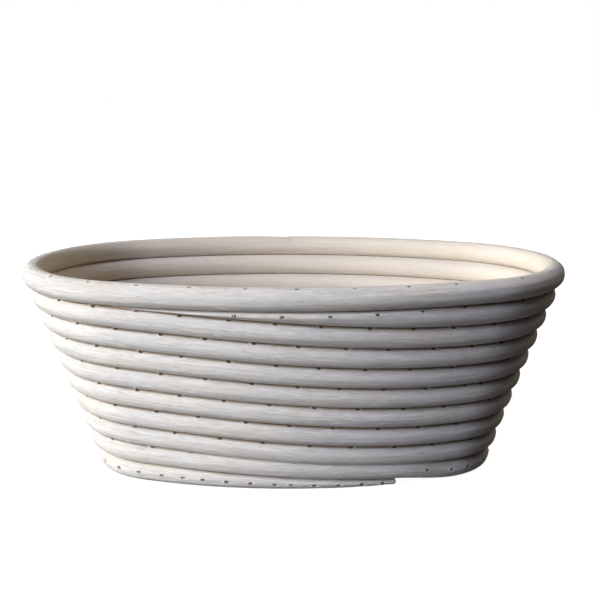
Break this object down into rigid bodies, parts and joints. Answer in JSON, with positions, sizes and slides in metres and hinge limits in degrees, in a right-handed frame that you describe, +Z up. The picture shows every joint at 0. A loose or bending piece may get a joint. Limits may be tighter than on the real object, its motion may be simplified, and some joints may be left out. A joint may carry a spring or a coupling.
{
  "type": "proofing basket",
  "caption": "Oval proofing basket of coiled round cane, open at the top, with a leaning wall, a rim ring and a flat cane base, pinned with wire pins.",
  "frame": {"origin": "on the surface the basket rests on, under the middle of its outside box", "axes": "+X along the basket, -Y towards the front, where the coil steps down, +Z up"},
  "size_m": [0.25, 0.1564, 0.0971],
  "materials": {
    "rattan_rim": "bare peeled rattan, matt, fine fibres along the cane",
    "rattan_wall": "bare peeled rattan, matt, fine fibres along the cane",
    "rattan_base": "bare peeled rattan, matt, fine fibres along the cane",
    "pin_steel": "drawn wire, slightly dulled"
  },
  "bodies": {
    "root": {"rim_cane": "rattan_rim", "wall_cane_upper": "rattan_wall", "wall_cane_lower": "rattan_wall", "base_cane": "rattan_base", "base_middle_canes": "rattan_base", "base_core_cane": "rattan_base", "rim_pins": "pin_steel", "scarf_pins": "pin_steel", "wedge_pins": "pin_steel", "wall_pins_course_1": "pin_steel", "wall_pins_course_2": "pin_steel", "wall_pins_course_3": "pin_steel", "wall_pins_course_4": "pin_steel", "wall_pins_course_5": "pin_steel", "wall_pins_course_6": "pin_steel", "wall_pins_course_7": "pin_steel", "wall_pins_course_8": "pin_steel", "base_edge_pins": "pin_steel", "blunt_end_pins": "pin_steel", "base_turn_pins": "pin_steel"}
  },
  "joints": []
}
